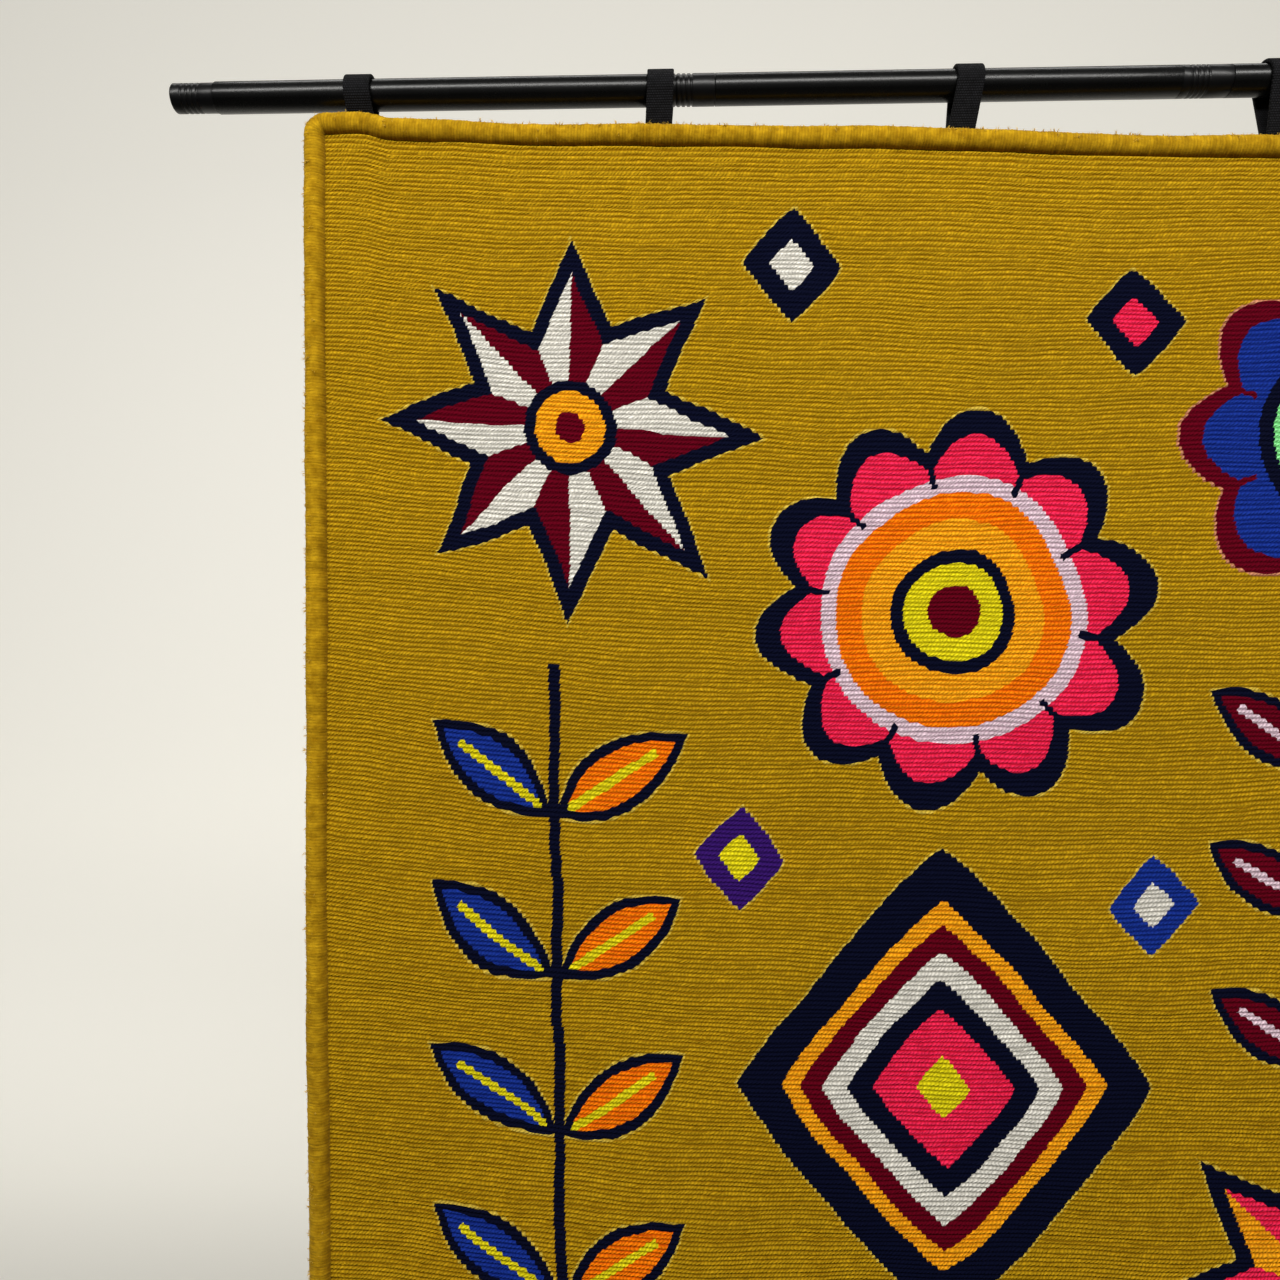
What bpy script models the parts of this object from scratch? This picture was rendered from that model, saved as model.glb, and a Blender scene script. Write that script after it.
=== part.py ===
# Wall tapestry with a whipped edge, hung by webbing loops from a rod in screwed sections.
# Lengths are in metres. The rod's axis is the X axis, +Y is the wall side and +Z is up.

import math
from collections import namedtuple

import bmesh
import bpy
import numpy as np

PIECE_GAP = 0.0003  # air between neighbours
AXIS_MERGE = 0.00005

# Tapestry, measured over the whipped edge
TAPESTRY_WIDTH = 1.244
TAPESTRY_BOTTOM = 1.692  # the lower edge's centre line, below the rod's axis
CLOTH_THICKNESS = 0.005
CLOTH_Y = -0.012  # the cloth hangs a little in front of the rod's axis
CLOTH_COLUMNS = 30
CLOTH_ROWS = 40

# Whipped edge: a filler cord under close turns of yarn
EDGE_RADIUS = 0.010
EDGE_CORNER_RADIUS = 0.0112
EDGE_CORNER_STEPS = 4
EDGE_ROUNDNESS = 3
EDGE_BULGE = 0.045  # the turns lie tighter in some places than in others
EDGE_BULGE_STEPS = (2.4, 0.9)  # radians from point to point
EDGE_TO_CLOTH = 0.0005
CLOTH_INSET = EDGE_RADIUS + EDGE_TO_CLOTH  # from the edge's centre line to the cloth's side

# Hanging loops of doubled webbing
LOOP_PITCH = 0.286
LOOP_FIRST = 0.050  # from the tapestry's left side
BAND_WIDTH = 0.025
BAND_THICKNESS = 0.0036
BAND_PLY_GAP = 0.0004
BAND_TO_EDGE = 0.0006
BAND_TO_CLOTH = 0.0005
TAIL_DROPS = (0.075, 0.058, 0.040, 0.022, 0.018, 0.013, 0.008, 0.003, -0.005)  # below the edge's centre line
TAIL_BEND = (0.022, 0.006)  # between these drops the band passes from the cloth's back to behind the edge
LOOP_ARC_STEPS = 16

# Rod
ROD_RADIUS = 0.014
TUBE_WALL = 0.0015
ROD_OVERHANG = 0.1304  # past the tapestry at either side
STUB_LENGTH = 0.0417
STUB_RADIUS = 0.0131
SECTION_PITCH = 0.4756
COLLAR_LENGTH = 0.0459
COLLAR_RADIUS = 0.01395
PLUG_LENGTH = 0.012
SPIGOT_LENGTH = 0.025
GROOVE_COUNT = 4
GROOVE_WIDTH = 0.0022
GROOVE_DEPTH = 0.0011
STUB_FIRST_GROOVE = 0.0107
STUB_GROOVE_PITCH = 0.0053
COLLAR_FIRST_GROOVE = 0.0093
COLLAR_GROOVE_PITCH = 0.0048
RIM_BEVEL = 0.0008
TURN_STEPS = 24

Wave = namedtuple("Wave", "depth across down start")
TopPoint = namedtuple("TopPoint", "along below")
SidePoint = namedtuple("SidePoint", "below inward")
LowPoint = namedtuple("LowPoint", "along lift")
LoopRow = namedtuple("LoopRow", "number rod_shift seam_shift")

# The top edge's centre line: how far along from the left side, how far below the rod's axis
TOP_LINE = [
    TopPoint(0.000, 0.0340),
    TopPoint(0.025, 0.0338),
    TopPoint(0.060, 0.0349),
    TopPoint(0.066, 0.0361),
    TopPoint(0.074, 0.0387),
    TopPoint(0.083, 0.0405),
    TopPoint(0.093, 0.0409),
    TopPoint(0.120, 0.0420),
    TopPoint(0.146, 0.0431),
    TopPoint(0.167, 0.0450),
    TopPoint(0.185, 0.0464),
    TopPoint(0.242, 0.0479),
    TopPoint(0.335, 0.0494),
    TopPoint(0.465, 0.0538),
    TopPoint(0.557, 0.0555),
    TopPoint(0.648, 0.0597),
    TopPoint(0.757, 0.0658),
    TopPoint(0.908, 0.0691),
    TopPoint(1.050, 0.0721),
    TopPoint(1.194, 0.0699),
    TopPoint(1.244, 0.0685),
]

# The sides lean in a little on the way down
LEFT_LINE = [
    SidePoint(0.03, 0.0000),
    SidePoint(0.11, 0.0002),
    SidePoint(0.29, 0.0008),
    SidePoint(0.48, 0.0018),
    SidePoint(0.86, 0.0019),
    SidePoint(1.00, 0.0033),
    SidePoint(1.12, 0.0046),
    SidePoint(1.45, 0.0034),
    SidePoint(1.70, 0.0008),
]
RIGHT_LINE = [
    SidePoint(0.03, 0.0000),
    SidePoint(0.35, 0.0026),
    SidePoint(0.80, 0.0012),
    SidePoint(1.20, 0.0036),
    SidePoint(1.70, 0.0014),
]
LOW_LINE = [
    LowPoint(0.000, 0.0020),
    LowPoint(0.260, 0.0000),
    LowPoint(0.560, 0.0026),
    LowPoint(0.880, 0.0006),
    LowPoint(1.244, 0.0030),
]

# The loops aren't quite square: sideways shift of each on the rod and at its seam
LOOP_TABLE = [
    LoopRow(1, 0.0000, 0.0016),
    LoopRow(2, 0.0000, -0.0030),
    LoopRow(3, 0.0006, -0.0066),
    LoopRow(4, -0.0008, 0.0024),
    LoopRow(5, 0.0004, -0.0014),
]

# Slow waves in the cloth's depth, in turns a metre across and down. They grow from nothing at the rod.
WAVES = [
    Wave(0.0040, 1.92, 0.13, 0.18),
    Wave(0.0026, 1.20, 1.41, 0.40),
    Wave(0.0018, 0.00, -1.06, 0.10),
]
LOW_CURL = Wave(0.0045, 0.91, 0.00, 0.35)  # only near the lower edge
LOW_CURL_POWER = 6

LEFT_X = -TAPESTRY_WIDTH / 2
ROD_END = TAPESTRY_WIDTH / 2 + ROD_OVERHANG


def smooth_line(table, at):
    """A smooth curve through a table of two columns, read at one value or at an array of them."""
    points = np.array(table, float)
    x, y = points[:, 0], points[:, 1]
    slopes = np.gradient(y, x)
    at = np.clip(at, x[0], x[-1])
    right = np.clip(np.searchsorted(x, at), 1, len(x) - 1)
    left = right - 1
    span = x[right] - x[left]
    t = (at - x[left]) / span
    start = y[left] * (1 + 2 * t) * (1 - t) ** 2 + slopes[left] * span * t * (1 - t) ** 2
    end = y[right] * t**2 * (3 - 2 * t) + slopes[right] * span * t**2 * (t - 1)
    return start + end


def top_z(x):
    return -smooth_line(TOP_LINE, x - LEFT_X)


def low_z(x):
    return -TAPESTRY_BOTTOM + smooth_line(LOW_LINE, x - LEFT_X)


def left_x(z):
    return LEFT_X + EDGE_RADIUS + smooth_line(LEFT_LINE, -z)


def right_x(z):
    return -LEFT_X - EDGE_RADIUS - smooth_line(RIGHT_LINE, -z)


def wave_depth(wave, x, z):
    return wave.depth * np.sin(2 * math.pi * (wave.across * x - wave.down * z + wave.start))


def sway(x, z):
    """Y of the cloth's middle surface: nearly flat under the loops, in slow shallow waves lower down."""
    share = np.clip(-z / TAPESTRY_BOTTOM, 0.0, 1.0)
    slow = sum(wave_depth(wave, x, z) for wave in WAVES)
    return CLOTH_Y + share * slow + share**LOW_CURL_POWER * wave_depth(LOW_CURL, x, z)


def new_collection(name):
    collection = bpy.data.collections.new(name)
    bpy.context.scene.collection.children.link(collection)
    return collection


def clear_scene():
    for obj in list(bpy.data.objects):
        bpy.data.objects.remove(obj, do_unlink=True)


def new_material(name, colour, roughness, metallic=0.0):
    material = bpy.data.materials.new(name)
    material.use_nodes = True
    shader = material.node_tree.nodes["Principled BSDF"]
    shader.inputs["Base Color"].default_value = (*colour, 1.0)
    shader.inputs["Roughness"].default_value = roughness
    shader.inputs["Metallic"].default_value = metallic
    return material


def add_object(name, data, collection, material):
    obj = bpy.data.objects.new(name, data)
    collection.objects.link(obj)
    data.materials.append(material)
    return obj


def grid_mesh(name, points):
    """An open surface through an array of points of shape (rows, columns, 3)."""
    rows, columns = points.shape[:2]
    mesh = bpy.data.meshes.new(name)
    shape = bmesh.new()
    bmesh.ops.create_grid(shape, x_segments=columns - 1, y_segments=rows - 1, size=0.5)
    shape.verts.ensure_lookup_table()
    for vert, place in zip(shape.verts, points.reshape(-1, 3)):
        vert.co = place
    bmesh.ops.recalc_face_normals(shape, faces=shape.faces)
    shape.to_mesh(mesh)
    shape.free()
    return mesh


def thicken(obj, thickness):
    solidify = obj.modifiers.new("thickness", "SOLIDIFY")
    solidify.thickness = thickness
    solidify.offset = 0.0
    solidify.use_even_offset = True


def cloth_grid():
    """X and Z of the cloth's grid, stretched between its four uneven sides."""
    u = np.linspace(0.0, 1.0, CLOTH_COLUMNS + 1)[None, :]
    v = np.linspace(0.0, 1.0, CLOTH_ROWS + 1)[:, None]
    straight_x = (LEFT_X + EDGE_RADIUS + CLOTH_INSET) * (1 - 2 * u)
    z = (top_z(straight_x) - CLOTH_INSET) * (1 - v) + (low_z(straight_x) + CLOTH_INSET) * v
    x = (left_x(z) + CLOTH_INSET) * (1 - u) + (right_x(z) - CLOTH_INSET) * u
    return x, z


def make_cloth(collection, material):
    """The woven cloth: one sheet, with the waves in its depth."""
    x, z = cloth_grid()
    points = np.stack([x, sway(x, z), z], axis=2)
    cloth = add_object("tapestry_cloth", grid_mesh("tapestry_cloth", points), collection, material)
    thicken(cloth, CLOTH_THICKNESS)
    cloth.data.shade_smooth()


def corner_arc(corner_x, corner_z, start_angle):
    """Points of a quarter circle in the plane of the cloth, turning clockwise as seen from the front."""
    angles = np.radians(start_angle - np.linspace(0, 90, EDGE_CORNER_STEPS + 1))
    return np.stack(
        [corner_x + EDGE_CORNER_RADIUS * np.cos(angles), corner_z + EDGE_CORNER_RADIUS * np.sin(angles)],
        axis=1,
    )


def edge_path():
    """The whipped edge's centre line, once round from the upper left corner, as rows of x and z. Along the
    sides its points lie beside the cloth's own, so that both follow the same line."""
    r = EDGE_CORNER_RADIUS
    inset = CLOTH_INSET
    x, z = cloth_grid()
    grid = np.stack([x, z], axis=2)
    left = x[0, 0] - inset
    right = x[0, -1] + inset
    low_left = x[-1, 0] - inset
    low_right = x[-1, -1] + inset
    return np.concatenate(
        [
            corner_arc(left + r, z[0, 0] + inset - r, 180),
            grid[0, 1:-1] + (0.0, inset),
            corner_arc(right - r, z[0, -1] + inset - r, 90),
            grid[1:-1, -1] + (inset, 0.0),
            corner_arc(low_right - r, z[-1, -1] - inset + r, 0),
            grid[-1, -2:0:-1] - (0.0, inset),
            corner_arc(low_left + r, z[-1, 0] - inset + r, -90),
            grid[-2:0:-1, 0] - (inset, 0.0),
        ]
    )


def make_edge(collection, material):
    """The whipped edge: one closed round cord that follows the cloth's outline."""
    path = edge_path()
    depth = sway(path[:, 0], path[:, 1])
    curve = bpy.data.curves.new("whipped_edge", "CURVE")
    curve.dimensions = "3D"
    curve.bevel_depth = EDGE_RADIUS
    curve.bevel_resolution = EDGE_ROUNDNESS
    spline = curve.splines.new("POLY")
    spline.points.add(len(path) - 1)
    spline.use_cyclic_u = True
    for number, point in enumerate(spline.points):
        x, z = path[number]
        squeeze = 0.5 + 0.25 * sum(math.sin(step * number) for step in EDGE_BULGE_STEPS)
        point.co = (x, depth[number], z, 1.0)
        point.radius = 1.0 - EDGE_BULGE * squeeze
    add_object("whipped_edge", curve, collection, material)


def tangent_angle(y, z, radius, side):
    """Angle from straight up, towards the front (side 1) or the wall (side -1), where a line from a point
    below the rod first touches the circle of this radius round the rod's axis."""
    distance = math.hypot(y, z)
    down = math.atan2(-y * side, -z)
    return math.pi - down - math.acos(radius / distance)


def tail_points(x, edge_z, ply):
    """Centre line of one ply from its sewn end up to behind the whipped edge, as rows of y and z."""
    behind_cloth = CLOTH_THICKNESS / 2 + BAND_TO_CLOTH + BAND_THICKNESS / 2
    behind_edge = EDGE_RADIUS + BAND_TO_EDGE + BAND_THICKNESS / 2
    extra = ply * (BAND_THICKNESS + BAND_PLY_GAP)
    drops = np.array(TAIL_DROPS)
    low, high = TAIL_BEND
    t = np.clip((low - drops) / (low - high), 0.0, 1.0)
    offset = behind_cloth + (behind_edge - behind_cloth) * t * t * (3 - 2 * t) + extra
    z = edge_z - drops
    return np.stack([sway(x, z) + offset, z], axis=1)


def loop_path(seam_x, edge_z):
    """Centre line of the whole band: up the front ply, over the rod and down the back ply."""
    radius = ROD_RADIUS + PIECE_GAP + BAND_THICKNESS / 2
    front = tail_points(seam_x, edge_z, 0)
    back = tail_points(seam_x, edge_z, 1)
    start = tangent_angle(*front[-1], radius, 1)
    end = tangent_angle(*back[-1], radius, -1)
    angles = np.linspace(start, -end, LOOP_ARC_STEPS + 1)
    arc = np.stack([-radius * np.sin(angles), radius * np.cos(angles)], axis=1)
    return np.concatenate([front, arc, back[::-1]])


def make_loop(row, collection, material):
    """One hanging loop: a band of webbing that goes over the rod, both ends sewn behind the cloth."""
    place_x = LEFT_X + LOOP_FIRST + (row.number - 1) * LOOP_PITCH
    rod_x = place_x + row.rod_shift
    seam_x = place_x + row.seam_shift
    edge_z = float(top_z(seam_x))
    path = loop_path(seam_x, edge_z)
    lean = np.clip(path[:, 1] / edge_z, 0.0, 1.0)
    middle = rod_x + (seam_x - rod_x) * lean
    across = np.array([-BAND_WIDTH / 2, BAND_WIDTH / 2])
    x = middle[:, None] + across[None, :]
    points = np.stack([x, np.repeat(path[:, :1], 2, axis=1), np.repeat(path[:, 1:], 2, axis=1)], axis=2)
    name = f"hanging_loop_{row.number}"
    band = add_object(name, grid_mesh(name, points), collection, material)
    thicken(band, BAND_THICKNESS)


def turned(name, profile, start_x, collection, material, hollow=False):
    """A turned piece on the rod's axis. The profile is rows of radius and distance from start_x, and it
    runs from its far end to its near end on the outside."""
    mesh = bpy.data.meshes.new(name)
    verts = [(radius, 0.0, along) for radius, along in profile]
    edges = [(i, i + 1) for i in range(len(verts) - 1)]
    if hollow:
        edges.append((len(verts) - 1, 0))
    mesh.from_pydata(verts, edges, [])
    piece = add_object(name, mesh, collection, material)
    piece.location = (start_x, 0.0, 0.0)
    piece.rotation_euler = (0.0, math.radians(90), 0.0)
    screw = piece.modifiers.new("turn", "SCREW")
    screw.angle = math.radians(360)
    screw.steps = TURN_STEPS
    screw.render_steps = TURN_STEPS
    screw.use_merge_vertices = True
    screw.merge_threshold = AXIS_MERGE
    screw.use_smooth_shade = True


def make_tube(name, start_x, end_x, collection, material):
    inner = ROD_RADIUS - TUBE_WALL
    length = end_x - start_x - PIECE_GAP
    profile = [(ROD_RADIUS, length), (ROD_RADIUS, PIECE_GAP), (inner, PIECE_GAP), (inner, length)]
    turned(name, profile, start_x, collection, material, hollow=True)


def grooved(radius, first, pitch):
    """Rows of radius and distance for the grooves, from the far end to the near one."""
    rows = []
    for number in reversed(range(GROOVE_COUNT)):
        place = first + pitch * number
        rows.append((radius, place + GROOVE_WIDTH / 2))
        rows.append((radius - GROOVE_DEPTH, place))
        rows.append((radius, place - GROOVE_WIDTH / 2))
    return rows


def make_rod(collection, paint, bare):
    spigot = ROD_RADIUS - TUBE_WALL - PIECE_GAP
    first_tube = -ROD_END + STUB_LENGTH

    # The grooved stub at the left end, with the spigot that it holds the first tube by
    profile = [(0.0, STUB_LENGTH + SPIGOT_LENGTH), (spigot, STUB_LENGTH + SPIGOT_LENGTH)]
    profile += [(spigot, STUB_LENGTH), (STUB_RADIUS, STUB_LENGTH)]
    profile += grooved(STUB_RADIUS, STUB_FIRST_GROOVE, STUB_GROOVE_PITCH)
    profile += [(STUB_RADIUS, RIM_BEVEL), (STUB_RADIUS - RIM_BEVEL, 0.0), (0.0, 0.0)]
    turned("end_stub", profile, -ROD_END, collection, bare)

    # The collars that join the tubes, each with a spigot either way
    for number in (1, 2):
        collar_end = first_tube + number * SECTION_PITCH
        collar_start = collar_end - COLLAR_LENGTH
        profile = [(0.0, COLLAR_LENGTH + SPIGOT_LENGTH), (spigot, COLLAR_LENGTH + SPIGOT_LENGTH)]
        profile += [(spigot, COLLAR_LENGTH), (COLLAR_RADIUS, COLLAR_LENGTH)]
        profile += grooved(COLLAR_RADIUS, COLLAR_FIRST_GROOVE, COLLAR_GROOVE_PITCH)
        profile += [(COLLAR_RADIUS, 0.0), (spigot, 0.0), (spigot, -SPIGOT_LENGTH), (0.0, -SPIGOT_LENGTH)]
        turned(f"joint_collar_{number}", profile, collar_start, collection, bare)

    for number in (1, 2, 3):
        start_x = first_tube + (number - 1) * SECTION_PITCH
        end_x = start_x + SECTION_PITCH - COLLAR_LENGTH if number < 3 else ROD_END - PLUG_LENGTH
        make_tube(f"rod_tube_{number}", start_x, end_x, collection, paint)

    # The plug in the right end
    profile = [(0.0, PLUG_LENGTH), (ROD_RADIUS - RIM_BEVEL, PLUG_LENGTH)]
    profile += [(ROD_RADIUS, PLUG_LENGTH - RIM_BEVEL), (ROD_RADIUS, 0.0)]
    profile += [(spigot, 0.0), (spigot, -SPIGOT_LENGTH), (0.0, -SPIGOT_LENGTH)]
    turned("end_plug", profile, ROD_END - PLUG_LENGTH, collection, bare)


def main():
    clear_scene()
    tapestry = new_collection("wall_tapestry")
    mustard = new_material("mustard_wool", (0.42, 0.25, 0.012), 0.95)
    edge_wool = new_material("edge_wool", (0.46, 0.27, 0.012), 0.95)
    webbing = new_material("black_webbing", (0.010, 0.010, 0.011), 0.85)
    paint = new_material("black_rod_paint", (0.006, 0.006, 0.007), 0.32)
    bare = new_material("black_fitting", (0.008, 0.008, 0.009), 0.38)
    make_rod(tapestry, paint, bare)
    for row in LOOP_TABLE:
        make_loop(row, tapestry, webbing)
    make_edge(tapestry, edge_wool)
    make_cloth(tapestry, mustard)


main()
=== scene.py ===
# Dresses the wall tapestry: ribbed wool cloth, whipped edge, webbing loops and the rod that they hang from.
# Lengths are in metres. The rod's axis is the X axis, the viewer stands at -Y and +Z is up.

import math

import bpy
import numpy as np
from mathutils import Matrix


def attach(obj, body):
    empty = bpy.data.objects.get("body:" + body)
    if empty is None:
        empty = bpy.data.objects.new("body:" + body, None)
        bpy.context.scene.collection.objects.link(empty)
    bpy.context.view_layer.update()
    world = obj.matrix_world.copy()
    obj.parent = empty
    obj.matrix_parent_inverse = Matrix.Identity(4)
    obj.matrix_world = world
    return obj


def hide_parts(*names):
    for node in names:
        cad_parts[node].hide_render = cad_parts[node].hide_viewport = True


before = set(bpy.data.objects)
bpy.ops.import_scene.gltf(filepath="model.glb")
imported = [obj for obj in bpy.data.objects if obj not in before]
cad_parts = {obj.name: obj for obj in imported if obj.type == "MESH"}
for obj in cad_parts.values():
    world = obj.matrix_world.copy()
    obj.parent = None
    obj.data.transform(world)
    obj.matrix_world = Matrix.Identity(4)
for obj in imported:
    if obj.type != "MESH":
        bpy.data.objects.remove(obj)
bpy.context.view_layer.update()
print("frame loaded:", len(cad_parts), "solids")


# camera, light and stage

view = {
    "place": (-0.2787, -0.910, -0.520),
    "turn": 0.0296,  # radians to the left
    "sensor": 36.0,
    "lens": 27.03,
}

studio = {
    "floor": -2.10,
    "wall": 2.70,
    "sweep": 0.90,  # radius of the bend between floor and wall
    "side": 26.0,
    "front": -5.0,
    "top": 3.2,
    "paint": (0.80, 0.79, 0.765),
    "nearPaint": (0.09, 0.088, 0.082),  # the floor is darker towards the viewer
    "glow": (0.37, 0.358, 0.312),  # the wall's own light, as from lamps out of sight
    "sky": (1.0, 0.985, 0.95),
    "skyStrength": 0.12,
}

lamps = {
    "frontLight": {"at": (-0.25, -2.1, 1.16), "aim": (-0.1, 0.0, -0.4), "size": (5.2, 0.42), "power": 138.0},
    "topLight": {"at": (-0.2, 0.55, 1.9), "aim": (-0.2, 0.0, 0.0), "size": (3.2, 0.5), "power": 16.0},
}


def makeCamera(setup):
    data = bpy.data.cameras.new("camera")
    data.sensor_width = setup["sensor"]
    data.lens = setup["lens"]
    data.clip_start = 0.05
    data.clip_end = 60.0
    eye = bpy.data.objects.new("camera", data)
    eye.location = setup["place"]
    eye.rotation_euler = (math.pi / 2, 0.0, setup["turn"])
    bpy.context.scene.collection.objects.link(eye)
    bpy.context.scene.camera = eye


def makeLamp(name, setup, colour):
    data = bpy.data.lights.new(name, "AREA")
    data.shape = "RECTANGLE"
    data.size, data.size_y = setup["size"]
    data.energy = setup["power"]
    data.color = colour
    lamp = bpy.data.objects.new(name, data)
    back = np.array(setup["at"]) - np.array(setup["aim"])
    flat = math.hypot(back[0], back[1])
    lamp.location = setup["at"]
    lamp.rotation_euler = (math.atan2(flat, back[2]), 0.0, math.atan2(back[0], -back[1]))
    bpy.context.scene.collection.objects.link(lamp)


def makeSky(setup):
    world = bpy.data.worlds.new("sky")
    world.use_nodes = True
    background = world.node_tree.nodes["Background"]
    background.inputs["Color"].default_value = (*setup["sky"], 1.0)
    background.inputs["Strength"].default_value = setup["skyStrength"]
    bpy.context.scene.world = world


makeCamera(view)
makeSky(studio)
for lampName, lampSetup in lamps.items():
    makeLamp(lampName, lampSetup, studio["sky"])
bpy.context.scene.view_settings.view_transform = "Standard"
print("camera and lights placed")


# meshes from arrays


# Faces of a grid of points numbered row by row. Either direction may close on itself.
def gridFaces(rows, columns, closeRows=False, closeColumns=False):
    down = np.arange(rows if closeRows else rows - 1)[:, None]
    across = np.arange(columns if closeColumns else columns - 1)[None, :]
    nextDown = (down + 1) % rows
    nextAcross = (across + 1) % columns
    nearCorners = [down * columns + across, down * columns + nextAcross]
    farCorners = [nextDown * columns + nextAcross, nextDown * columns + across]
    return np.stack(np.broadcast_arrays(*nearCorners, *farCorners), axis=2).reshape(-1, 4)


def buildPiece(name, points, faces, finish, placeName=None, places=None):
    mesh = bpy.data.meshes.new(name)
    mesh.from_pydata(points.reshape(-1, 3).tolist(), [], faces)
    if placeName:
        layer = mesh.attributes.new(placeName, "FLOAT_VECTOR", "POINT")
        layer.data.foreach_set("vector", places.reshape(-1).astype(np.float32))
    mesh.polygons.foreach_set("use_smooth", np.ones(len(mesh.polygons), dtype=bool))
    mesh.update()
    mesh.materials.append(finish)
    piece = bpy.data.objects.new(name, mesh)
    bpy.context.scene.collection.objects.link(piece)
    return piece


# A smooth curve through a table of two columns: cubic pieces with slopes taken from the neighbours.
def smoothLine(table, at):
    points = np.array(table, float)
    x, y = points[:, 0], points[:, 1]
    slopes = np.gradient(y, x)
    at = np.clip(at, x[0], x[-1])
    right = np.clip(np.searchsorted(x, at), 1, len(x) - 1)
    left = right - 1
    span = x[right] - x[left]
    t = (at - x[left]) / span
    start = y[left] * (1 + 2 * t) * (1 - t) ** 2 + slopes[left] * span * t * (1 - t) ** 2
    end = y[right] * t**2 * (3 - 2 * t) + slopes[right] * span * t**2 * (t - 1)
    return start + end


# Sum of sine waves over two directions, each wave given as depth, turns across, turns down and start.
def ripples(waves, across, down):
    return sum(depth * np.sin(2 * math.pi * (a * across + d * down + start)) for depth, a, d, start in waves)


# shader maths written as Python expressions


class Wire:
    def __init__(self, finish, socket):
        self.finish = finish
        self.socket = socket

    def maths(self, operation, *values):
        return self.finish.add("ShaderNodeMath", {"operation": operation}, dict(enumerate(values)))

    def __add__(self, other):
        return self.maths("ADD", self, other)

    def __sub__(self, other):
        return self.maths("SUBTRACT", self, other)

    def __mul__(self, other):
        return self.maths("MULTIPLY", self, other)

    def __truediv__(self, other):
        return self.maths("DIVIDE", self, other)

    def __rsub__(self, other):
        return self.maths("SUBTRACT", other, self)

    def __pow__(self, other):
        return self.maths("POWER", self, other)

    def __lt__(self, other):
        return self.maths("LESS_THAN", self, other)

    def __gt__(self, other):
        return self.maths("GREATER_THAN", self, other)

    def __abs__(self):
        return self.maths("ABSOLUTE", self)

    def __floor__(self):
        return self.maths("FLOOR", self)

    def __mod__(self, other):
        return self.maths("FLOORED_MODULO", self, other)

    __radd__ = __add__
    __rmul__ = __mul__

    def sine(self):
        return self.maths("SINE", self)

    def cosine(self):
        return self.maths("COSINE", self)

    def bounce(self, reach):  # up and down between 0 and reach
        return self.maths("PINGPONG", self, reach)

    def between(self, low, high):
        return (self > low) * (self < high)

    def least(self, other):
        return self.maths("MINIMUM", self, other)

    def most(self, other):
        return self.maths("MAXIMUM", self, other)


class Finish:
    def __init__(self, name, **fixed):
        self.material = bpy.data.materials.new(name)
        self.material.use_nodes = True
        self.tree = self.material.node_tree
        self.shader = self.tree.nodes["Principled BSDF"]
        for socket, value in fixed.items():
            self.shader.inputs[socket.replace("_", " ")].default_value = value

    def add(self, kind, settings=None, sockets=None, output=0):
        node = self.tree.nodes.new(kind)
        for key, value in (settings or {}).items():
            if key == "stops":
                self.setStops(node.color_ramp, value)
            else:
                setattr(node, key, value)
        for key, value in (sockets or {}).items():
            if isinstance(value, Wire):
                self.tree.links.new(value.socket, node.inputs[key])
            else:
                node.inputs[key].default_value = value
        return Wire(self, node.outputs[output])

    def setStops(self, ramp, stops):
        ramp.interpolation = "CONSTANT"
        while len(ramp.elements) < len(stops):
            ramp.elements.new(1.0)
        for element, (place, colour) in zip(ramp.elements, stops):
            element.position = place
            element.color = (*colour, 1.0)

    def feed(self, socket, wire):
        self.tree.links.new(wire.socket, self.shader.inputs[socket])

    def parts(self, vector, kind="ShaderNodeSeparateXYZ"):
        return [self.add(kind, None, {0: vector}, output=n) for n in range(3)]

    def place(self, name):  # the three parts of a piece's own attribute
        return self.parts(self.add("ShaderNodeAttribute", {"attribute_name": name}, output="Vector"))

    def objectPlace(self):
        return self.add("ShaderNodeTexCoord", output="Object")

    def join(self, x, y, z=0.0):
        return self.add("ShaderNodeCombineXYZ", None, {0: x, 1: y, 2: z})

    def noise(self, place, scale, detail, rough, output=0):
        sockets = {"Vector": place, "Scale": scale, "Detail": detail, "Roughness": rough}
        return self.add("ShaderNodeTexNoise", None, sockets, output)

    def chance(self, value):  # one random number for each whole number
        return self.add("ShaderNodeTexWhiteNoise", {"noise_dimensions": "1D"}, {"W": value})

    def blend(self, factor, under, over):
        under, over = [value if isinstance(value, Wire) else (*value, 1.0) for value in (under, over)]
        return self.add("ShaderNodeMix", {"data_type": "RGBA"}, {0: factor, 6: under, 7: over}, output=2)

    def ramp(self, value, stops):
        return self.add("ShaderNodeValToRGB", {"stops": stops}, {0: value})

    def scaleColour(self, colour, amount):
        return self.add("ShaderNodeVectorMath", {"operation": "SCALE"}, {0: colour, "Scale": amount})

    def bump(self, height, distance, strength):
        sockets = {"Height": height, "Distance": distance, "Strength": strength}
        return self.add("ShaderNodeBump", None, sockets)


# A colour as a screen shows it, from 0 to 255, turned into the linear values that a shader takes.
def tone(red, green, blue):
    shares = [value / 255 for value in (red, green, blue)]
    return tuple(s / 12.92 if s <= 0.04045 else ((s + 0.055) / 1.055) ** 2.4 for s in shares)


# the tapestry's outline, as the solids have it

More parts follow.
